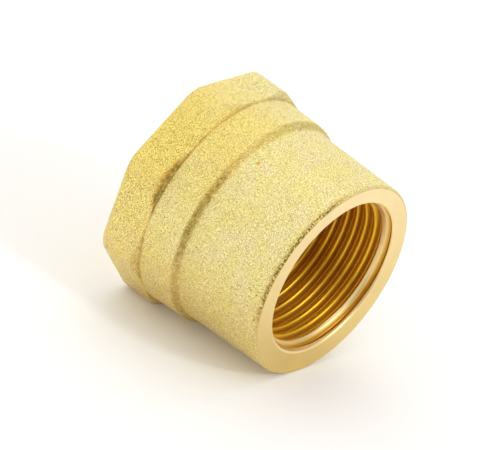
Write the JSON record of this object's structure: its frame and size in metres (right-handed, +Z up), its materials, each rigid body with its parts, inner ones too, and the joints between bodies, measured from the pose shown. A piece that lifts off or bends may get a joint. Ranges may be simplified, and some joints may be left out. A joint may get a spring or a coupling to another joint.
{
  "type": "threaded pipe cap",
  "caption": "Forged brass pipe cap lying on its side: threaded round mouth, tapered barrel, band and closed octagonal end, with a flat sealing washer inside.",
  "frame": {"origin": "on the thread's axis, in the plane of the mouth face", "axes": "+X along the thread's axis, out of the mouth; +Z up, square to the octagon's uppermost flat, with the cap lying on its side; +Y completes a right-handed frame"},
  "size_m": [0.03, 0.036, 0.036],
  "materials": {
    "brass": "sand-blasted forging with turned mouth face and bore",
    "washer": "matt red-brown sealing rubber"
  },
  "bodies": {
    "cap": {"cap_body": "brass"},
    "washer": {"sealing_washer": "washer"}
  },
  "joints": [
    {"name": "washer_removal", "type": "slide", "parent": "cap", "child": "washer", "axis": [1, 0, 0], "range_m": [0, 0.024]}
  ]
}
